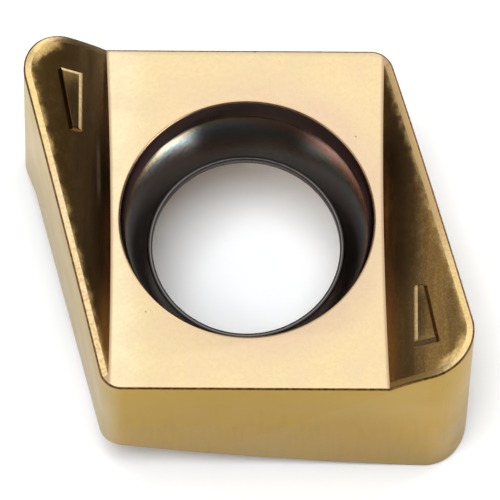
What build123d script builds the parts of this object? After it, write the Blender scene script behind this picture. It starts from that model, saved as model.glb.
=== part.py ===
"""Double-sided rhombic carbide milling insert: one pressed, sintered and coated body.

Millimetres, +Z up. The origin is the middle of the screw hole, half-way between the two
seating flats. The acute noses lie towards -X +Y and +X -Y, and both sides carry the same
form: turning the insert over about the line through its noses brings it back to itself.
"""
from build123d import *
from math import cos, degrees, radians, sin, tan
import os

# Plan form ---------------------------------------------------------------------------
inscribed_circle = 9.525
nose_angle = 75.5
nose_radius = 1.15
blunt_corner_radius = 0.6

# Height between the two seating flats --------------------------------------------------
flat_thickness = 3.97

# Rake ramps, which climb from the seating flat to the cutting edges ---------------------
# In section a ramp is an arc that starts steeply and flattens towards the edge. In plan its
# foot is a long arc, nearest the hole at ramp_shift from the middle, towards the blunt corner.
# There it passes foot_from_corner inside the point where the two sides would meet.
foot_from_corner = 0.16
ramp_start_angle = 45.0
ramp_radius = 7.0
ramp_sweep_radius = 120.0
ramp_shift = 1.2

# Cutting edges: a level land that supports the edge, and a hone that takes off its sharpness
land_width = 0.2
edge_hone = 0.05

# Chip breaker, a low wedge on the ramp behind each nose ---------------------------------
breaker_length = 1.65
breaker_wide_end = 0.56
breaker_narrow_end = 0.24
breaker_height = 0.13
breaker_chamfer = 0.11
breaker_from_flat = 0.76
breaker_from_side = 0.95

# Screw hole: from each side a funnel with a rounded mouth, down to a narrow throat land ---
mouth_from_foot = 0.23
mouth_edge_radius = 0.06
funnel_radius = 4.25
waist_diameter = 5.1
throat_diameter = 4.9
throat_length = 0.2

# Sizes that follow ---------------------------------------------------------------------
half_width = inscribed_circle / 2
half_angle = radians(nose_angle / 2)
half_thickness = flat_thickness / 2
nose_reach = half_width / tan(half_angle)
blunt_reach = half_width * tan(half_angle)
half_flat = blunt_reach - foot_from_corner
mouth_radius = half_flat - mouth_from_foot
clear = inscribed_circle
level_tolerance = 1e-6

# Placed on this plane, the form of the top becomes that of the underside.
turned_over = Plane(
    origin=(0, 0, 0),
    x_dir=(cos(radians(nose_angle)), -sin(radians(nose_angle)), 0),
    z_dir=(0, 0, -1),
)


def rhombus(inset):
    """Return the plan outline, moved inwards by inset, with its corners rounded."""
    scale = (half_width - inset) / half_width
    nose = (-nose_reach * scale, half_width * scale)
    blunt = (-blunt_reach * scale, -half_width * scale)
    with BuildSketch() as outline:
        with BuildLine():
            Polyline(nose, blunt, (-nose[0], -nose[1]), (-blunt[0], -blunt[1]), close=True)
        make_face()
        noses = outline.vertices().sort_by(lambda corner: abs(corner.X))[2:]
        fillet(noses, nose_radius - inset)
        blunt_corners = outline.vertices().sort_by(lambda corner: abs(corner.X))[:2]
        fillet(blunt_corners, blunt_corner_radius - inset)
    return outline.sketch


def ramp(lift):
    """Return the solid under the ramp at -X, with its foot raised above the flat by lift."""
    pivot = Vector(-half_flat - ramp_sweep_radius, -ramp_shift)
    sweep = clear / ramp_sweep_radius
    start = Plane(origin=pivot, x_dir=(cos(sweep), -sin(sweep), 0), z_dir=(-sin(sweep), -cos(sweep), 0))
    foot = (ramp_sweep_radius, half_thickness + lift)
    climb = (-cos(radians(ramp_start_angle)), sin(radians(ramp_start_angle)))
    with BuildPart() as solid:
        with BuildSketch(start):
            with BuildLine():
                rise = JernArc(foot, climb, ramp_radius, ramp_start_angle)
                Polyline(rise @ 1, ((rise @ 1).X, 0), (foot[0], 0), foot)
            make_face()
        revolve(axis=Axis(pivot, (0, 0, 1)), revolution_arc=2 * degrees(sweep))
    return solid.part


# All that lies below the top face: the seating flat and a ramp on either side of it.
with BuildPart() as rake_form:
    with BuildSketch(Plane.XY.offset(half_thickness)):
        Rectangle(2 * clear, 2 * clear)
    extrude(amount=-clear)
    with PolarLocations(0, 2):
        add(ramp(lift=0))

# Chip breaker: a low wedge with bevelled edges, its top parallel to the ramp.
with BuildPart() as chip_breaker:
    inner = -half_flat - breaker_from_flat
    rear = half_width - breaker_from_side
    front = rear - breaker_length
    with BuildSketch(Plane.XY.offset(half_thickness)):
        with BuildLine():
            Polyline(
                (inner, rear),
                (inner, front),
                (inner - breaker_narrow_end, front),
                (inner - breaker_wide_end, rear),
                close=True,
            )
        make_face()
    extrude(amount=clear)
    add(ramp(lift=breaker_height), mode=Mode.INTERSECT)
    chamfer(chip_breaker.faces().sort_by(Axis.Z)[-1].edges(), breaker_chamfer)

# Screw hole: a funnel from each side, meeting at the throat land.
with BuildPart() as screw_hole:
    mouth = (mouth_radius, half_thickness)
    waist = (waist_diameter / 2, throat_length / 2)
    throat = (throat_diameter / 2, throat_length / 2)
    with BuildSketch(Plane.XZ):
        with BuildLine():
            Polyline((0, clear), (0, 0), (throat[0], 0), throat, waist)
            RadiusArc(waist, mouth, -funnel_radius)
            Polyline(mouth, (mouth[0], clear), (0, clear))
        make_face()
    revolve(axis=Axis.Z)
    mirror(about=Plane.XY)


def is_flank(face):
    """Tell whether a face stands upright, as the sides and rounded corners do."""
    return abs(face.normal_at().Z) < level_tolerance


with BuildPart() as insert_body:
    extrude(rhombus(land_width), amount=clear, both=True)
    for side in (Plane.XY, turned_over):
        with Locations(side):
            add(rake_form.part, mode=Mode.INTERSECT)
    # The lands: the sides grow outwards level with the ramps' rims.
    thicken(faces().filter_by(is_flank), amount=land_width)
    flanks = faces().filter_by(is_flank)
    chamfer(flanks.edges().filter_by(Axis.Z, reverse=True), edge_hone)
    add(screw_hole.part, mode=Mode.SUBTRACT)
    rims = edges().filter_by(lambda edge: edge.is_closed).sort_by(SortBy.LENGTH)
    fillet(rims[-2:], mouth_edge_radius)
    for side in (Plane.XY, turned_over):
        with Locations(side):
            with PolarLocations(0, 2):
                add(chip_breaker.part)

os.makedirs("parts", exist_ok=True)
insert_body.part.label = "insert_body"
export_step(insert_body.part, "parts/insert_body.step")
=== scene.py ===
import bmesh
import bpy
from math import asin, atan2, cos, hypot, pi, radians, sin, sqrt, tan
from mathutils import Euler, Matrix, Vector


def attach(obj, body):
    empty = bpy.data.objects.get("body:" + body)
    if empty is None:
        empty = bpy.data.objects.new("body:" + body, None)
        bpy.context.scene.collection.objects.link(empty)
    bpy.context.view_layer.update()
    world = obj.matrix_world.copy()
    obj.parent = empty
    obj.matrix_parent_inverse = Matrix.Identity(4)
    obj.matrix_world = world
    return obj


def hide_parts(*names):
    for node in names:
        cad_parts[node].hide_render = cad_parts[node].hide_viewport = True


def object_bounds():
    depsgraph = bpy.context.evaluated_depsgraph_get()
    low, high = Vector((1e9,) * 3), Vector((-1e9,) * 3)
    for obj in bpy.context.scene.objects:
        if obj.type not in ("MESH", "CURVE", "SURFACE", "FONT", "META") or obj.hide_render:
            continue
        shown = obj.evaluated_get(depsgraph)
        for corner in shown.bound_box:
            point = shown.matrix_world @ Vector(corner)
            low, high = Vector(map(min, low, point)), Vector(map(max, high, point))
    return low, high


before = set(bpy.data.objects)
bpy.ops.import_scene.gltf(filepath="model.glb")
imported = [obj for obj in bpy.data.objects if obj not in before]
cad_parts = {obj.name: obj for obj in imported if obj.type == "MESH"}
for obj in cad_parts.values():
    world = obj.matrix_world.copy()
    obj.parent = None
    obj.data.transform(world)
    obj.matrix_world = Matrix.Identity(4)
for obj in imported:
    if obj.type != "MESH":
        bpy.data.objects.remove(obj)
cad_box = [list(corner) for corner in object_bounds()]

# ---------------------------------------------------------------- sizes, in millimetres
MM = 0.001
INSCRIBED_CIRCLE = 9.525
NOSE_ANGLE = radians(75.5)
NOSE_RADIUS = 1.15
BLUNT_CORNER_RADIUS = 0.6
FLAT_THICKNESS = 3.97
FLAT_WIDTH = 7.055
RAMP_START_ANGLE = radians(45)
RAMP_RADIUS = 7.0
RAMP_SWEEP_RADIUS = 120.0
RAMP_SHIFT = 1.2
LAND_WIDTH = 0.2
EDGE_HONE = 0.05
BREAKER_LENGTH = 1.65
BREAKER_WIDE_END = 0.56
BREAKER_NARROW_END = 0.24
BREAKER_HEIGHT = 0.13
BREAKER_BEVEL = 0.11
BREAKER_FINE_BEVEL = 0.03
BREAKER_FROM_FLAT = 0.76
BREAKER_FROM_SIDE = 0.95
MOUTH_DIAMETER = 6.595
MOUTH_EDGE_RADIUS = 0.06
FUNNEL_RADIUS = 4.25
WAIST_DIAMETER = 5.1
THROAT_DIAMETER = 4.9
THROAT_LENGTH = 0.2

HALF_WIDTH = INSCRIBED_CIRCLE / 2
HALF_THICKNESS = FLAT_THICKNESS / 2
HALF_FLAT = FLAT_WIDTH / 2
HALF_ANGLE = NOSE_ANGLE / 2
CLEAR = INSCRIBED_CIRCLE
UP = Vector((0, 0, 1))
FRONT = Vector((0, -1, 0))

# How finely the rounds are stepped
POST_SIDES = 240
RAMP_STEPS = 28
RAMP_SWEEP_STEPS = 64
FUNNEL_STEPS = 25
HOLE_SWEEP_STEPS = 160
SMOOTH_ANGLE = radians(22)

# How far the drawn sections run past the flat's plane, so that no row of points lies on it
RAMP_RUN_IN = radians(3.3)
RAMP_LEAD = 0.3
FUNNEL_RUN_OUT = radians(1.5)

# Tolerances for choosing faces by the Z of their normal and vertices by their place, and for
# merging points and dissolving faces
LEVEL = 0.9999
SLOPED = 0.3
UPRIGHT = 0.01
NEAR_FLAT = 1e-3
NEAR_EDGE = 0.01
SAME_POINT = 1e-4
SAME_PLANE = radians(0.4)
ONE_SWEEP = radians(3)

# How deep the relief of a finish is at a height of 1
RELIEF_DEPTH = 0.02

# Stage, in metres. The metal mirrors a sky and soft cards. The sky is given by the Z of the way
# there, and a card by its azimuth, half width, foot, the height where its top begins to fade, the
# height where that ends, and its light.
LAMP_DISTANCE = 0.45
FLOOR_RADIUS = 0.16
FLOOR_GREY = (0.79, 0.79, 0.79, 1)
FLOOR_WHITE = (1.04, 1.06, 1.08, 1)
FILL = (0.045, 0.047, 0.05, 1)
STUDIO_STRENGTH = 1.2
SKY = (
    (0, (0.035, 0.03, 0.027)),
    (0.2, (0.05, 0.045, 0.04)),
    (0.5, (0.11, 0.10, 0.09)),
    (0.66, (0.17, 0.16, 0.15)),
    (0.78, (0.75, 0.74, 0.73)),
    (0.88, (0.93, 0.93, 0.93)),
)
CARDS = (
    (59, 26, 0, 0.22, 0.46, (4.4, 4.4, 4.2)),
    (-68, 34, 0, 0.30, 0.46, (1.0, 0.95, 0.92)),
    (-118, 40, 0.36, 0.45, 0.6, (0.36, 0.32, 0.26)),
    (155, 32, 0, 0.6, 0.8, (1.25, 1.2, 1.12)),
    (-152, 34, 0, 0.57, 0.76, (0.8, 0.78, 0.74)),
)

FLAT, RAMP, LAND, HONE, FLANK, HOLE, BREAKER_EDGE = range(7)
finish_names = ("flat", "ramp", "land", "hone", "flank", "hole", "breaker_edge")
finishes = [bpy.data.materials.new(name) for name in finish_names]


# ---------------------------------------------------------------- modelling helpers
def deselect():
    if bpy.context.mode != "OBJECT":
        bpy.ops.object.mode_set(mode="OBJECT")
    bpy.ops.object.select_all(action="DESELECT")


def pick(*pieces):
    """Select these pieces alone, the first of them active."""
    deselect()
    for piece in pieces:
        piece.select_set(True)
    bpy.context.view_layer.objects.active = pieces[0]


def shape(piece):
    """Open a piece for shaping, with all of it selected."""
    pick(piece)
    bpy.ops.object.mode_set(mode="EDIT")
    bpy.ops.mesh.select_all(action="SELECT")


def choose(piece, kind, wanted):
    """Within an open piece, select only the elements of this kind that are wanted."""
    bpy.ops.mesh.select_mode(type=kind)
    bpy.ops.mesh.select_all(action="DESELECT")
    mesh = bmesh.from_edit_mesh(piece.data)
    elements = {"VERT": mesh.verts, "EDGE": mesh.edges, "FACE": mesh.faces}[kind]
    for element in elements:
        if wanted(element):
            element.select_set(True)
    bmesh.update_edit_mesh(piece.data)


def done(piece):
    """Close a piece and put its place into its mesh."""
    pick(piece)
    bpy.ops.object.transform_apply(location=True, rotation=True, scale=True)
    return piece


def copy_of(piece):
    pick(piece)
    bpy.ops.object.duplicate()
    return bpy.context.object


def turned(piece, turn):
    """Turn a piece about the origin."""
    piece.rotation_euler = turn
    return done(piece)


def dress(piece):
    """Give a piece a slot for each of the insert's finishes."""
    for finish in finishes:
        piece.data.materials.append(finish)


def paint(piece, slot):
    """Put a finish on the chosen faces of an open piece."""
    piece.active_material_index = slot
    bpy.ops.object.material_slot_assign()


def combine(piece, other, operation):
    """Join, cut or intersect a piece with another, which is used up."""
    pick(piece)
    modifier = piece.modifiers.new("combine", "BOOLEAN")
    modifier.operation = operation
    modifier.solver = "EXACT"
    modifier.object = other
    bpy.ops.object.modifier_apply(modifier=modifier.name)
    bpy.data.objects.remove(other)


def round_off(width, segments, slot):
    """Round the chosen edges of an open piece, in a finish of their own."""
    bpy.ops.mesh.bevel(offset=width, segments=segments, profile=0.5, clamp_overlap=False, material=slot)


def pen_down(name, point):
    """Begin a section: a plane shrunk to one vertex, left open for drawing."""
    deselect()
    bpy.ops.mesh.primitive_plane_add(location=point)
    piece = done(bpy.context.object)
    piece.name = name
    shape(piece)
    bpy.ops.mesh.select_mode(type="VERT")
    bpy.ops.mesh.merge(type="CENTER")
    return piece


def line(travel):
    """Draw a straight stretch from the pen's point."""
    bpy.ops.mesh.extrude_region_move(TRANSFORM_OT_translate={"value": travel})


def arc(centre, axis, angle, steps):
    """Draw an arc from the pen's point, anticlockwise about the axis. Spin turns clockwise."""
    bpy.ops.mesh.spin(steps=steps, angle=angle, center=centre, axis=-axis)


def sweep_round(centre, angle, steps):
    """Close the drawn section and sweep it about an upright axis into a solid."""
    bpy.ops.mesh.select_all(action="SELECT")
    bpy.ops.mesh.remove_doubles(threshold=SAME_POINT)
    bpy.ops.mesh.spin(steps=steps, angle=angle, center=centre, axis=-UP)
    bpy.ops.mesh.select_all(action="SELECT")
    bpy.ops.mesh.remove_doubles(threshold=SAME_POINT)
    bpy.ops.mesh.fill_holes(sides=0)
    bpy.ops.mesh.select_all(action="SELECT")
    bpy.ops.mesh.normals_make_consistent(inside=False)
    bpy.ops.object.mode_set(mode="OBJECT")


# ---------------------------------------------------------------- selections
def is_side(face):
    """A face that stands upright, on the outside of the insert."""
    return abs(face.normal.z) < UPRIGHT


def is_sloped_or_level(face):
    return not is_side(face)


def is_level(face):
    return abs(face.normal.z) > LEVEL


def is_land(face):
    """A face, other than a side, that meets a side."""
    return not is_side(face) and any(is_side(other) for edge in face.edges for other in edge.link_faces)


def is_flat(face):
    """A level face at the height of a seating flat."""
    return is_level(face) and abs(abs(face.calc_center_median().z) - HALF_THICKNESS) < NEAR_FLAT


def is_in_hole(face):
    x, y, z = face.calc_center_median()
    return hypot(x, y) < MOUTH_DIAMETER / 2 + NEAR_EDGE and abs(z) < HALF_THICKNESS - NEAR_FLAT


def is_on_mouth(vertex):
    """A vertex on the circle where the hole meets a flat."""
    from_flat = abs(abs(vertex.co.z) - HALF_THICKNESS)
    return from_flat < NEAR_FLAT and abs(vertex.co.xy.length - MOUTH_DIAMETER / 2) < NEAR_EDGE


def is_rim(edge, is_top):
    """An edge between an upright face and a top face."""
    faces = edge.link_faces
    return sum(is_side(face) for face in faces) == 1 and sum(is_top(face) for face in faces) == 1


# ---------------------------------------------------------------- the insert's forms
def plan_prism(inset):
    """The plan outline moved inwards by inset, as a tall prism: four posts and their hull."""
    posts = []
    for radius, slope in ((NOSE_RADIUS, -1 / tan(HALF_ANGLE)), (BLUNT_CORNER_RADIUS, tan(HALF_ANGLE))):
        across = HALF_WIDTH - radius
        for side in (1, -1):
            deselect()
            bpy.ops.mesh.primitive_cylinder_add(
                vertices=POST_SIDES,
                radius=radius - inset,
                depth=2 * CLEAR,
                location=(side * across * slope, side * across, 0),
            )
            posts.append(bpy.context.object)
    pick(*posts)
    bpy.ops.object.join()
    prism = bpy.context.object
    prism.name = "insert"
    shape(prism)
    bpy.ops.mesh.convex_hull(join_triangles=True)
    bpy.ops.mesh.select_all(action="SELECT")
    bpy.ops.mesh.dissolve_limited(angle_limit=SAME_PLANE)
    bpy.ops.object.mode_set(mode="OBJECT")
    return done(prism)


def ramp(lift):
    """The solid under the ramp at -X, with its foot raised above the flat by lift."""
    reach = CLEAR / RAMP_SWEEP_RADIUS
    pivot = Vector((-HALF_FLAT - RAMP_SWEEP_RADIUS, -RAMP_SHIFT, 0))
    outward = Vector((cos(reach), -sin(reach), 0))
    foot = pivot + outward * RAMP_SWEEP_RADIUS + UP * (HALF_THICKNESS + lift)
    centre = foot - (outward * cos(RAMP_START_ANGLE) + UP * sin(RAMP_START_ANGLE)) * RAMP_RADIUS
    early = RAMP_START_ANGLE - RAMP_RUN_IN
    first = centre + (outward * cos(early) + UP * sin(early)) * RAMP_RADIUS
    lead = (outward * sin(early) - UP * cos(early)) * RAMP_LEAD
    start = first + lead
    piece = pen_down("ramp", start)
    line(-lead)
    arc(centre, outward.cross(UP), pi / 2 - early, RAMP_STEPS)
    top = centre + UP * RAMP_RADIUS
    line((0, 0, -top.z))
    line((start.x - top.x, start.y - top.y, 0))
    line((0, 0, start.z))
    sweep_round(pivot, 2 * reach, RAMP_SWEEP_STEPS)
    return piece


def rake_form():
    """All that lies below the top face: the seating flat and a ramp on either side of it."""
    deselect()
    bpy.ops.mesh.primitive_cube_add(
        size=1, scale=(3 * CLEAR, 3 * CLEAR, CLEAR), location=(0, 0, HALF_THICKNESS - CLEAR / 2)
    )
    form = done(bpy.context.object)
    left = ramp(0)
    right = turned(copy_of(left), (0, 0, pi))
    combine(form, left, "UNION")
    combine(form, right, "UNION")
    return form


def turned_over(piece):
    """Turn a piece over about the line through the noses."""
    return turned(piece, (pi, 0, -NOSE_ANGLE))


def chip_breaker():
    """A low wedge with bevelled edges on the ramp behind the left nose."""
    inner = -HALF_FLAT - BREAKER_FROM_FLAT
    rear = HALF_WIDTH - BREAKER_FROM_SIDE

    def is_front_outer(edge):
        return all(v.co.x < inner - NEAR_EDGE and v.co.y < rear - NEAR_EDGE for v in edge.verts)

    def is_top(face):
        return face.normal.z > SLOPED

    def is_crown(face):
        return is_top(face) and face.calc_area() > 2 * BREAKER_BEVEL * BREAKER_LENGTH

    def is_outer_side(face):
        return abs(face.normal.z) < SLOPED and (face.normal.x < -SLOPED or face.normal.y < -SLOPED)

    def is_broad(edge):
        by_inner, by_rear = inner - BREAKER_BEVEL - NEAR_EDGE, rear - BREAKER_BEVEL - NEAR_EDGE
        return all(v.co.x > by_inner for v in edge.verts) or all(v.co.y > by_rear for v in edge.verts)

    deselect()
    bpy.ops.mesh.primitive_cube_add(
        size=1,
        scale=(BREAKER_WIDE_END, BREAKER_LENGTH, CLEAR),
        location=(inner - BREAKER_WIDE_END / 2, rear - BREAKER_LENGTH / 2, HALF_THICKNESS + CLEAR / 2),
    )
    wedge = done(bpy.context.object)
    wedge.name = "chip_breaker"
    shape(wedge)
    choose(wedge, "EDGE", is_front_outer)
    bpy.ops.transform.translate(value=(BREAKER_WIDE_END - BREAKER_NARROW_END, 0, 0))
    bpy.ops.object.mode_set(mode="OBJECT")
    combine(wedge, ramp(BREAKER_HEIGHT), "INTERSECT")
    dress(wedge)
    shape(wedge)
    paint(wedge, RAMP)
    choose(wedge, "FACE", is_top)
    bpy.ops.mesh.dissolve_faces()
    bpy.ops.mesh.select_all(action="SELECT")
    bpy.ops.mesh.dissolve_limited(angle_limit=ONE_SWEEP)
    # The outer sides take the dark hone finish as painted shade.
    choose(wedge, "FACE", is_outer_side)
    paint(wedge, HONE)
    # The edges towards the flat and the rear have broad bright bevels, the others fine bevels in the dark
    # hone finish, which is painted shade here.
    choose(wedge, "EDGE", lambda edge: is_rim(edge, is_top) and is_broad(edge))
    round_off(BREAKER_BEVEL, 2, BREAKER_EDGE)
    choose(wedge, "EDGE", lambda edge: is_rim(edge, is_top) and not is_broad(edge))
    round_off(BREAKER_FINE_BEVEL, 2, HONE)
    # The crown is slightly twisted, so it is split here, in the same way each run.
    choose(wedge, "FACE", is_crown)
    bpy.ops.mesh.quads_convert_to_tris(quad_method="SHORTEST_DIAGONAL")
    bpy.ops.object.mode_set(mode="OBJECT")
    return wedge


def screw_hole():
    """The cutter for the hole: a funnel from each side, meeting at the throat land."""
    mouth = Vector((MOUTH_DIAMETER / 2, 0, HALF_THICKNESS))
    waist = Vector((WAIST_DIAMETER / 2, 0, THROAT_LENGTH / 2))
    chord = mouth - waist
    to_centre = Vector((-chord.z, 0, chord.x)).normalized()
    centre = (mouth + waist) / 2 + to_centre * sqrt(FUNNEL_RADIUS**2 - (chord.length / 2) ** 2)
    turn = 2 * asin(chord.length / 2 / FUNNEL_RADIUS) + FUNNEL_RUN_OUT
    last_angle = atan2(mouth.z - centre.z, mouth.x - centre.x) + FUNNEL_RUN_OUT
    last = centre + Vector((cos(last_angle), 0, sin(last_angle))) * FUNNEL_RADIUS
    ledge = Vector((THROAT_DIAMETER / 2 - waist.x, 0, 0))
    flipped = Vector((1, 1, -1))
    piece = pen_down("screw_hole", last * flipped)
    arc(centre * flipped, FRONT, turn, FUNNEL_STEPS)
    line(ledge)
    line((0, 0, THROAT_LENGTH))
    line(-ledge)
    arc(centre, FRONT, turn, FUNNEL_STEPS)
    line((-last.x, 0, 0))
    line((0, 0, -2 * last.z))
    line((last.x, 0, 0))
    sweep_round((0, 0, 0), 2 * pi, HOLE_SWEEP_STEPS)
    return piece


def build_insert():
    """The whole insert, with its finishes, brought from millimetres to metres at the end."""
    insert = plan_prism(LAND_WIDTH)
    form = rake_form()
    under = turned_over(copy_of(form))
    combine(insert, form, "INTERSECT")
    combine(insert, under, "INTERSECT")
    dress(insert)
    shape(insert)
    choose(insert, "FACE", is_level)
    paint(insert, FLAT)
    choose(insert, "FACE", lambda face: not is_level(face))
    paint(insert, RAMP)
    choose(insert, "FACE", is_side)
    paint(insert, FLANK)
    bpy.ops.mesh.extrude_region_shrink_fatten(
        TRANSFORM_OT_shrink_fatten={"value": LAND_WIDTH, "use_even_offset": True}
    )
    choose(insert, "FACE", is_land)
    paint(insert, LAND)
    choose(insert, "FACE", is_flat)
    paint(insert, FLAT)
    choose(insert, "EDGE", lambda edge: is_rim(edge, is_sloped_or_level))
    round_off(EDGE_HONE, 3, HONE)
    bpy.ops.object.mode_set(mode="OBJECT")

    wedge = chip_breaker()
    for underneath in (False, True):
        for turn in (0, pi):
            breaker = turned(copy_of(wedge), (0, 0, turn))
            if underneath:
                breaker = turned_over(breaker)
            combine(insert, breaker, "UNION")
    bpy.data.objects.remove(wedge)

    combine(insert, screw_hole(), "DIFFERENCE")
    shape(insert)
    choose(insert, "FACE", is_in_hole)
    paint(insert, HOLE)
    choose(insert, "EDGE", lambda edge: all(is_on_mouth(vertex) for vertex in edge.verts))
    round_off(MOUTH_EDGE_RADIUS, 4, HOLE)
    bpy.ops.object.mode_set(mode="OBJECT")

    shape(insert)
    bpy.ops.mesh.remove_doubles(threshold=SAME_POINT)
    bpy.ops.object.mode_set(mode="OBJECT")
    pick(insert)
    bpy.ops.object.shade_smooth_by_angle(angle=SMOOTH_ANGLE)
    insert.scale = (MM, MM, MM)
    return done(insert)


insert = build_insert()
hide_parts("insert_body")
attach(insert, "root")


# ---------------------------------------------------------------- nodes
def put(tree, kind, inputs=(), **settings):
    """Add a node. Its inputs are given as values or as other nodes' sockets."""
    node = tree.nodes.new(kind)
    for name, value in settings.items():
        setattr(node, name, value)
    for name, value in dict(inputs).items():
        if isinstance(value, bpy.types.NodeSocket):
            tree.links.new(value, node.inputs[name])
        else:
            node.inputs[name].default_value = value
    return node


def maths(tree, operation, one, other=0.0):
    return put(tree, "ShaderNodeMath", {0: one, 1: other}, operation=operation).outputs[0]


def times(tree, *factors):
    """The product of several values."""
    product = factors[0]
    for factor in factors[1:]:
        product = maths(tree, "MULTIPLY", product, factor)
    return product


def unsigned(tree, value):
    """A value without its sign."""
    return maths(tree, "ABSOLUTE", value)


def measure(tree, operation, *vectors):
    """A number taken from vectors, such as a length, a distance or a dot product."""
    return put(tree, "ShaderNodeVectorMath", dict(enumerate(vectors)), operation=operation).outputs["Value"]


def ease(tree, value, low, high, to_low=0.0, to_high=1.0):
    """Carry a value smoothly from one range to another."""
    inputs = {"Value": value, "From Min": low, "From Max": high, "To Min": to_low, "To Max": to_high}
    return put(tree, "ShaderNodeMapRange", inputs, interpolation_type="SMOOTHSTEP").outputs[0]


def within(tree, distance, low, high, to_low=0.0, to_high=1.0):
    """Ease a distance between limits given in millimetres."""
    return ease(tree, distance, low * MM, high * MM, to_low, to_high)


def blend(tree, factor, one, other):
    """Blend two colours."""
    node = put(tree, "ShaderNodeMix", {0: factor}, data_type="RGBA")
    for socket, colour in ((node.inputs[6], one), (node.inputs[7], other)):
        if isinstance(colour, bpy.types.NodeSocket):
            tree.links.new(colour, socket)
        else:
            socket.default_value = (*colour, 1)
    return node.outputs[2]


def layered(tree, base, *layers):
    """A colour with others laid over it in turn, each where its own mask is."""
    for mask, colour in layers:
        base = blend(tree, mask, base, colour)
    return base


# ---------------------------------------------------------------- grain
def grain_group():
    """The grain that all the finishes share: cloudy noise, and a mask of its lighter patches."""
    group = bpy.data.node_groups.new("grain", "ShaderNodeTree")
    for name, kind in (
        ("Place", "NodeSocketVector"),
        ("Stretch", "NodeSocketVector"),
        ("Patches per Metre", "NodeSocketFloat"),
        ("Detail", "NodeSocketFloat"),
        ("Low", "NodeSocketFloat"),
        ("High", "NodeSocketFloat"),
        ("Amount", "NodeSocketFloat"),
    ):
        group.interface.new_socket(name, in_out="INPUT", socket_type=kind)
    for name in ("Cloud", "Mask"):
        group.interface.new_socket(name, in_out="OUTPUT", socket_type="NodeSocketFloat")
    given = put(group, "NodeGroupInput").outputs
    stretched = {0: given["Place"], 1: given["Stretch"]}
    place = put(group, "ShaderNodeVectorMath", stretched, operation="MULTIPLY").outputs[0]
    patches = {"Vector": place, "Scale": given["Patches per Metre"], "Detail": given["Detail"]}
    cloud = put(group, "ShaderNodeTexNoise", patches).outputs[0]
    mask = ease(group, cloud, given["Low"], given["High"], 0, given["Amount"])
    put(group, "NodeGroupOutput", {"Cloud": cloud, "Mask": mask})
    return group


grain_tree = grain_group()


def grain(tree, place, per_mm, detail=3.0, stretch=(1, 1, 1), low=0.35, high=0.65, amount=1.0):
    """The cloud and the mask of the grain, with about this many patches per millimetre."""
    inputs = {
        "Place": place,
        "Stretch": stretch,
        "Patches per Metre": per_mm / MM,
        "Detail": detail,
        "Low": low,
        "High": high,
        "Amount": amount,
    }
    grains = put(tree, "ShaderNodeGroup", inputs, node_tree=grain_tree).outputs
    return grains["Cloud"], grains["Mask"]


def uneven(tree, cloud, low, high):
    """A roughness that follows the cloud, which keeps mostly between its two bounds."""
    cloud_low, cloud_high = 0.3, 0.7
    return ease(tree, cloud, cloud_low, cloud_high, low, high)


# ---------------------------------------------------------------- places on the insert
def apart(tree, place):
    """The X, Y and Z of a place."""
    x, y, z = put(tree, "ShaderNodeSeparateXYZ", {0: place}).outputs
    return x, y, z


def folded(tree, place):
    """A place seen on the right half, to which the left comes by a half turn about the hole:
    its X, its Y, which falls towards the nose, and both as a point."""
    x, y, _ = apart(tree, place)
    away = unsigned(tree, x)
    along = times(tree, maths(tree, "SIGN", x), y)
    return away, along, put(tree, "ShaderNodeCombineXYZ", {0: away, 1: along}).outputs[0]


def from_axis(tree, place):
    """The distance from the axis of the hole."""
    plan = put(tree, "ShaderNodeVectorMath", {0: place, 1: (1, 1, 0)}, operation="MULTIPLY").outputs[0]
    return measure(tree, "LENGTH", plan)


def sideways(tree, place):
    """The distance from the middle, square to the long sides, and below zero on the left."""
    return measure(tree, "DOT_PRODUCT", place, (sin(NOSE_ANGLE), cos(NOSE_ANGLE), 0))


# ---------------------------------------------------------------- finishes
def opened(slot):
    """The tree of a finish, and the place of each point on the insert."""
    material = finishes[slot]
    material.use_nodes = True
    return material.node_tree, put(material.node_tree, "ShaderNodeTexCoord").outputs["Object"]


def coat(slot, colour, roughness, height, bump, metallic=1.0):
    """Join the values of a finish to its shader."""
    tree = finishes[slot].node_tree
    shader = tree.nodes["Principled BSDF"]
    if isinstance(metallic, bpy.types.NodeSocket):
        tree.links.new(metallic, shader.inputs["Metallic"])
    else:
        shader.inputs["Metallic"].default_value = metallic
    tree.links.new(colour, shader.inputs["Base Color"])
    tree.links.new(roughness, shader.inputs["Roughness"])
    bumps = {"Strength": bump, "Distance": RELIEF_DEPTH * MM, "Height": height}
    relief = put(tree, "ShaderNodeBump", bumps)
    tree.links.new(relief.outputs[0], shader.inputs["Normal"])
    return shader


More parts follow.
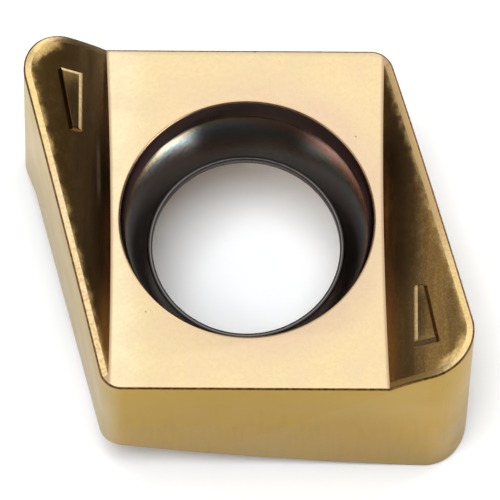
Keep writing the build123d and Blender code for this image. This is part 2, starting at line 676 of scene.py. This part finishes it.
def finish_flats():
    """Pale gold, pinker round the hole, paler by the left ramp as painted light, with a brown painted shade
    line along its borders with the ramps, faint clouds and a few specks.
    """
    tree, place = opened(FLAT)
    x, _, _ = apart(tree, place)
    cloud, clouds = grain(tree, place, 1.1, 5, low=0.42, high=0.66, amount=0.4)
    fine_amount = 0.12
    fine, lighter = grain(tree, place, 9, 4, low=0.35, high=0.62, amount=fine_amount)
    # Painted light: the flat is made paler beside the left ramp only.
    painted_light_by_left_ramp = within(tree, x, -3.3, -2.4, 1, 0)
    wander = times(tree, cloud, 0.9 * MM)
    near_hole = within(tree, maths(tree, "ADD", from_axis(tree, place), wander), 3.9, 4.9, 1, 0)
    near_hole = times(tree, near_hole, within(tree, x, -3, 1.5, 0.1, 1))
    cells = put(tree, "ShaderNodeTexVoronoi", {"Vector": place, "Scale": 1.6 / MM}).outputs["Distance"]
    _, some = grain(tree, place, 0.8, 0, low=0.5, high=0.56, amount=0.75)
    specks = times(tree, ease(tree, cells, 0.02, 0.06, 1, 0), some)
    pivot = ((HALF_FLAT + RAMP_SWEEP_RADIUS) * MM, RAMP_SHIFT * MM, 0)
    from_pivot = measure(tree, "DISTANCE", folded(tree, place)[2], pivot)
    from_foot = maths(tree, "SUBTRACT", from_pivot, RAMP_SWEEP_RADIUS * MM)
    colour = layered(
        tree,
        (0.93, 0.735, 0.42),
        (painted_light_by_left_ramp, (1.0, 0.86, 0.55)),
        (near_hole, (0.86, 0.645, 0.43)),
        (clouds, (0.92, 0.72, 0.47)),
        (maths(tree, "SUBTRACT", fine_amount, lighter), (0.70, 0.50, 0.27)),
        (specks, (0.30, 0.17, 0.08)),
        # Painted shade: a brown line on the flat along the foot of each ramp.
        (within(tree, from_foot, 0.01, 0.1, 0.85, 0), (0.52, 0.33, 0.20)),
    )
    coat(FLAT, colour, uneven(tree, cloud, 0.24, 0.3), fine, 0.05)


def ramp_rim(tree, place, wander):
    """A mask of the gold rim of the ramps, along the lands and round the tips of the noses."""
    away, along, point = folded(tree, place)
    from_middle = unsigned(tree, sideways(tree, place))
    side_rim = within(tree, maths(tree, "ADD", from_middle, wander), 4.52, 4.86)
    across = HALF_WIDTH - NOSE_RADIUS
    nose_centre = (across / tan(HALF_ANGLE) * MM, -across * MM, 0)
    from_nose_centre = measure(tree, "DISTANCE", point, nose_centre)
    nose_rim = times(
        tree,
        within(tree, maths(tree, "ADD", from_nose_centre, wander), 0.8, 1.05),
        within(tree, away, 4.7, 5.1),
        within(tree, along, -4.1, -3.5, 1, 0),
    )
    return maths(tree, "MAXIMUM", side_rim, nose_rim)


def painted_foot_highlight(tree, place):
    """A mask of a painted highlight: a pale streak that runs beside the foot of the left ramp."""
    x, _, _ = apart(tree, place)
    away, along, _ = folded(tree, place)
    middle, slant = 3.83, 0.02
    from_streak = maths(tree, "ADD", maths(tree, "SUBTRACT", away, middle * MM), times(tree, along, slant))
    from_its_end = maths(tree, "ADD", along, 1.2 * MM)
    return times(
        tree,
        within(tree, unsigned(tree, from_streak), 0.02, 0.07, 0.8, 0),
        within(tree, x, -1, 1, 1, 0),
        within(tree, unsigned(tree, from_its_end), 0.3, 1.1, 1, 0),
    )


def finish_ramps():
    """Painted shade, near black, by the foot, then mottled olive gold, with a gold rim by the lands; the
    right ramp is painted darker in its middle and lighter outside, as light and shade.
    """
    tree, place = opened(RAMP)
    x, _, _ = apart(tree, place)
    away, along, _ = folded(tree, place)
    mottle, mottled = grain(tree, place, 3.6, 5, low=0.44, high=0.66, amount=0.7)
    _, streaks = grain(tree, place, 4.5, 3, (1, 0.06, 0.2), low=0.45, high=0.7, amount=0.4)
    fine_amount = 0.3
    fine, lighter = grain(tree, place, 16, 3, low=0.4, high=0.65, amount=fine_amount)
    # Painted light and shade: the right ramp is darker in its middle band, lighter in its outer band, and
    # its lighter mottle is stronger than on the left.
    on_right = within(tree, x, -1, 1)
    by_nose = within(tree, along, -3.6, -1, 1, 0)
    off_middle = within(tree, unsigned(tree, along), 1.2, 3.2)
    # Painted shade: the ramp darkens to near black towards its foot, most in the middle of its length.
    foot = blend(tree, off_middle, (0.05, 0.028, 0.022), (0.56, 0.34, 0.14))
    middle = layered(
        tree,
        (0.60, 0.39, 0.18),
        (on_right, (0.34, 0.22, 0.11)),
        (by_nose, (0.92, 0.61, 0.27)),
    )
    outer = blend(tree, on_right, (0.42, 0.26, 0.08), (0.84, 0.55, 0.2))
    patches = times(
        tree,
        mottled,
        times(tree, within(tree, x, -1, 1, 0.35, 1), within(tree, away, 4, 4.7, 0.12, 1)),
    )
    rim = ramp_rim(tree, place, times(tree, mottle, 0.3 * MM))
    colour = layered(
        tree,
        foot,
        (within(tree, away, 3.6, 4.2), middle),
        (within(tree, away, 4.2, 4.8), outer),
        (streaks, (0.30, 0.15, 0.09)),
        # Painted highlight beside the left ramp's foot.
        (painted_foot_highlight(tree, place), (1.0, 0.86, 0.62)),
        (patches, (0.74, 0.52, 0.23)),
        (rim, (1.0, 0.70, 0.28)),
        (maths(tree, "SUBTRACT", fine_amount, lighter), (0.22, 0.13, 0.05)),
    )
    roughness = ease(tree, rim, 0, 1, 0.2, 0.4)
    metallic = ease(tree, rim, 0, 1, 1, 0.62)
    coat(RAMP, colour, roughness, fine, 0.12, metallic)


def finish_lands():
    """Rough bright gold grain, yellower at the noses, with painted light paling it on the left and painted
    shade darkening it on the right and at the rear ends.
    """
    tree, place = opened(LAND)
    x, y, _ = apart(tree, place)
    away = unsigned(tree, x)
    coarse, bright = grain(tree, place, 13, 4, low=0.36, high=0.62)
    _, clouds = grain(tree, place, 2.2, 3, low=0.45, high=0.65, amount=0.3)
    by_nose = within(tree, away, 4.9, 5.5, 0, 0.6)
    # Painted light on the left land and painted shade on the right one, which has the same shape turned
    # round.
    left = times(tree, within(tree, x, -4, -5), within(tree, y, 2, 0, 0, 0.6))
    right = times(tree, within(tree, x, 3, 4), within(tree, y, -2, 0, 0, 1))
    # Painted shade at the rear ends of the lands, and a little at the front ends.
    by_end = times(
        tree,
        within(tree, unsigned(tree, y), 4.5, 4.56),
        within(tree, away, 4.5, 5.3, 0.85, 0),
    )
    end_shade_colour = blend(tree, within(tree, y, -1, 1), (0.72, 0.48, 0.17), (0.24, 0.155, 0.07))
    colour = layered(
        tree,
        (0.76, 0.53, 0.24),
        (bright, (1.0, 0.76, 0.40)),
        (clouds, (0.98, 0.80, 0.52)),
        (by_nose, (1.0, 0.76, 0.32)),
        (left, (1.0, 0.78, 0.50)),
        (right, (0.66, 0.46, 0.22)),
        (by_end, end_shade_colour),
    )
    coat(LAND, colour, uneven(tree, coarse, 0.38, 0.28), coarse, 0.3)


def finish_breaker_edges():
    """Worn satin gold, with painted shade at the end towards the front."""
    tree, place = opened(BREAKER_EDGE)
    _, y, _ = apart(tree, place)
    coarse, bright = grain(tree, place, 11, 4)
    colour = layered(
        tree,
        (0.70, 0.50, 0.23),
        (bright, (0.92, 0.70, 0.36)),
        # Painted shade on the breaker end nearest the front.
        (within(tree, y, -3.72, -3.6, 1, 0), (0.10, 0.06, 0.025)),
    )
    coat(BREAKER_EDGE, colour, uneven(tree, coarse, 0.34, 0.26), coarse, 0.15, 0.45)


def finish_hones():
    """Thin brown lines on the cutting edges, and darker painted shade on the breakers' outer sides."""
    tree, place = opened(HONE)
    _, y, _ = apart(tree, place)
    coarse, bright = grain(tree, place, 9, 3)
    out = maths(tree, "MAXIMUM", unsigned(tree, sideways(tree, place)), unsigned(tree, y))
    colour = layered(
        tree,
        (0.15, 0.075, 0.02),
        (bright, (0.28, 0.15, 0.055)),
        # Painted shade: darker on the breakers, inside the outline.
        (within(tree, out, 4.45, 4.55, 1, 0), (0.085, 0.055, 0.03)),
    )
    coat(HONE, colour, uneven(tree, coarse, 0.26, 0.38), coarse, 0.3)


def finish_flanks():
    """Satin gold, drawn a little downwards, with painted light making it paler towards the top and on the
    left.
    """
    tree, place = opened(FLANK)
    _, _, z = apart(tree, place)
    cloud, clouds = grain(tree, place, 0.9, 4)
    _, drawn = grain(tree, place, 7, 3, (1, 1, 0.12), low=0.42, high=0.66, amount=0.35)
    fine, _ = grain(tree, place, 14, 3)
    colour = layered(
        tree,
        (0.50, 0.30, 0.02),
        (clouds, (0.53, 0.33, 0.03)),
        (drawn, (0.45, 0.27, 0.02)),
        # Painted light: paler towards the top.
        (within(tree, z, -0.9, 0.9, 0, 0.85), (0.53, 0.345, 0.07)),
        # Painted light: paler on the left flank.
        (within(tree, sideways(tree, place), -4.72, -4.2, 0.9, 0), (0.62, 0.47, 0.20)),
    )
    coat(FLANK, colour, uneven(tree, cloud, 0.28, 0.36), fine, 0.15)


def film(tree, down, *bands):
    """Thin-film colours from the mouth down."""
    node = put(tree, "ShaderNodeValToRGB", {0: down})
    stops = node.color_ramp.elements
    stops.remove(stops[1])
    for where, tint in bands:
        (stops.new(where) if where else stops[0]).color = (*tint, 1)
    return node.outputs[0]


def hole_relief(tree, depth, fine):
    """The slope under the mouth curves in most just below a crease, and less and less further down."""
    crease, lowest, drop = 0.62, 1.89, 1.27
    steepest, easing, grain_height = 0.56, 0.26, 0.1
    limits = {"Value": depth, "From Min": crease * MM, "From Max": lowest * MM}
    below = put(tree, "ShaderNodeMapRange", limits).outputs[0]
    slope = maths(tree, "SUBTRACT", steepest, times(tree, below, easing))
    curve = times(tree, below, slope, drop / RELIEF_DEPTH)
    return maths(tree, "ADD", curve, times(tree, fine, grain_height))


def finish_hole():
    """Near-black gloss with thin-film colours down its slope, warmer on the right."""
    tree, place = opened(HOLE)
    x, _, z = apart(tree, place)
    radius = from_axis(tree, place)
    depth = maths(tree, "SUBTRACT", HALF_THICKNESS * MM, unsigned(tree, z))
    fine, _ = grain(tree, place, 10, 3)
    drift = times(tree, grain(tree, place, 0.8, 2)[0], 0.3 * MM)
    down = within(tree, maths(tree, "ADD", depth, drift), 0.2, 2.2)
    cool = film(
        tree,
        down,
        (0, (0.075, 0.05, 0.047)),
        (0.2, (0.13, 0.10, 0.085)),
        (0.24, (0.42, 0.38, 0.28)),
        (0.32, (0.42, 0.41, 0.33)),
        (0.41, (0.26, 0.34, 0.40)),
        (0.52, (0.24, 0.24, 0.26)),
        (0.75, (0.165, 0.16, 0.155)),
        (1, (0.17, 0.165, 0.155)),
    )
    warm = film(
        tree,
        down,
        (0, (0.075, 0.05, 0.047)),
        (0.2, (0.16, 0.11, 0.09)),
        (0.25, (0.40, 0.23, 0.19)),
        (0.37, (0.33, 0.19, 0.165)),
        (0.48, (0.24, 0.21, 0.17)),
        (0.58, (0.17, 0.2, 0.2)),
        (0.75, (0.21, 0.17, 0.155)),
        (1, (0.19, 0.165, 0.15)),
    )
    # The ledge of the throat land, darker, with a thin painted highlight on its lip.
    ledge = times(tree, within(tree, depth, 1.86, 1.88), within(tree, depth, 1.90, 1.89))
    painted_lip_highlight = times(tree, within(tree, radius, 2.485, 2.50), within(tree, radius, 2.525, 2.51))
    colour = layered(
        tree,
        cool,
        (within(tree, x, -0.8, 1.2), warm),
        (ledge, (0.05, 0.045, 0.04)),
        (within(tree, depth, 0.045, 0.065, 1, 0), (0.85, 0.6, 0.36)),
        (times(tree, ledge, painted_lip_highlight), (0.22, 0.2, 0.185)),
    )
    shader = coat(HOLE, colour, uneven(tree, fine, 0.16, 0.22), hole_relief(tree, depth, fine), 1)
    shader.inputs["Specular Tint"].default_value = (0.35, 0.35, 0.38, 1)


finish_flats()
finish_ramps()
finish_lands()
finish_breaker_edges()
finish_hones()
finish_flanks()
finish_hole()


# ---------------------------------------------------------------- stage
def towards(azimuth, elevation):
    """A direction. Azimuth 0 is over the front, and 90 over the right."""
    a, e = radians(azimuth), radians(elevation)
    return Vector((sin(a) * cos(e), -cos(a) * cos(e), sin(e)))


def area_lamp(name, azimuth, elevation, size, radiance):
    """A square soft lamp that faces the part."""
    away = towards(azimuth, elevation)
    light = bpy.data.lights.new(name, "AREA")
    light.shape = "SQUARE"
    light.size = size
    light.energy = radiance * pi * size * size
    lamp = bpy.data.objects.new(name, light)
    lamp.location = away * LAMP_DISTANCE
    lamp.rotation_euler = away.to_track_quat("Z", "Y").to_euler()
    lamp.visible_glossy = False
    bpy.context.scene.collection.objects.link(lamp)


def lay_floor():
    """A disc under the part, pale grey to the light and white to the camera."""
    deselect()
    bpy.ops.mesh.primitive_circle_add(
        vertices=96, radius=FLOOR_RADIUS, fill_type="NGON", location=(0, 0, cad_box[0][2])
    )
    floor = bpy.context.object
    floor.name = "floor"
    material = bpy.data.materials.new("floor_white")
    material.use_nodes = True
    tree = material.node_tree
    matt = tree.nodes["Principled BSDF"]
    matt.inputs["Base Color"].default_value = FLOOR_GREY
    matt.inputs["Roughness"].default_value = 1
    matt.inputs["Specular IOR Level"].default_value = 0
    white = put(tree, "ShaderNodeBsdfDiffuse", {"Color": FLOOR_WHITE})
    to_camera = put(tree, "ShaderNodeLightPath").outputs["Is Camera Ray"]
    cover = put(tree, "ShaderNodeMixShader", {0: to_camera, 1: matt.outputs[0], 2: white.outputs[0]})
    tree.links.new(cover.outputs[0], tree.nodes["Material Output"].inputs[0])
    floor.data.materials.append(material)


def card_mask(tree, way, height, azimuth, half_width, foot, low, high):
    """A mask of a soft card by the part, which fades towards its sides, its foot and its top."""
    aim = towards(azimuth, 0)
    ahead = measure(tree, "DOT_PRODUCT", way, aim)
    beside = measure(tree, "DOT_PRODUCT", way, aim.cross(UP))
    turn = maths(tree, "ARCTAN2", unsigned(tree, beside), ahead)
    full_within, foot_share, foot_blur = 5, 0.3, 0.02
    return times(
        tree,
        ease(tree, turn, radians(half_width), radians(full_within), 0, 1),
        ease(tree, height, high, low, 0, 1),
        ease(tree, height, (1 - foot_share) * foot - foot_blur, (1 + foot_share) * foot + foot_blur),
    )


def build_world():
    """White to the camera, a studio to the metal, and a dim fill to all else."""
    world = bpy.data.worlds.new("studio")
    bpy.context.scene.world = world
    world.use_nodes = True
    tree = world.node_tree
    tree.nodes.clear()
    way = put(tree, "ShaderNodeTexCoord").outputs["Generated"]
    _, _, height = apart(tree, way)
    sky = put(tree, "ShaderNodeValToRGB", {0: height})
    stops = sky.color_ramp.elements
    stops[1].position = SKY[-1][0]
    for stop, (_, level) in zip(stops, (SKY[0], SKY[-1])):
        stop.color = (*level, 1)
    for where, level in SKY[1:-1]:
        stops.new(where).color = (*level, 1)
    studio = sky.outputs[0]
    for azimuth, half_width, foot, low, high, light in CARDS:
        mask = card_mask(tree, way, height, azimuth, half_width, foot, low, high)
        studio = blend(tree, mask, studio, light)
    fill = put(tree, "ShaderNodeBackground", {"Color": FILL})
    mirror = put(tree, "ShaderNodeBackground", {"Color": studio, "Strength": STUDIO_STRENGTH})
    white = put(tree, "ShaderNodeBackground", {"Color": (1, 1, 1, 1)})
    path = put(tree, "ShaderNodeLightPath").outputs
    shine = put(
        tree, "ShaderNodeMixShader", {0: path["Is Glossy Ray"], 1: fill.outputs[0], 2: mirror.outputs[0]}
    )
    seen = put(
        tree, "ShaderNodeMixShader", {0: path["Is Camera Ray"], 1: shine.outputs[0], 2: white.outputs[0]}
    )
    put(tree, "ShaderNodeOutputWorld", {0: seen.outputs[0]})


def place_camera():
    lens = bpy.data.cameras.new("camera")
    lens.sensor_width = 36
    lens.lens = 667.8
    lens.clip_start = 0.01
    lens.clip_end = 10
    camera = bpy.data.objects.new("camera", lens)
    camera.location = (-2.90877228 * MM, -92.84648223 * MM, 223.51953698 * MM)
    camera.rotation_euler = Euler((radians(22.5428218), radians(-0.778307058), radians(0.0163946561)))
    bpy.context.scene.collection.objects.link(camera)
    bpy.context.scene.camera = camera


area_lamp("key", -34, 77, 0.3, 7.5)
area_lamp("side", 135, 43, 0.2, 5.8)
area_lamp("back", 205, 35, 0.2, 2.6)
lay_floor()
build_world()
bpy.context.scene.view_settings.view_transform = "Standard"
place_camera()
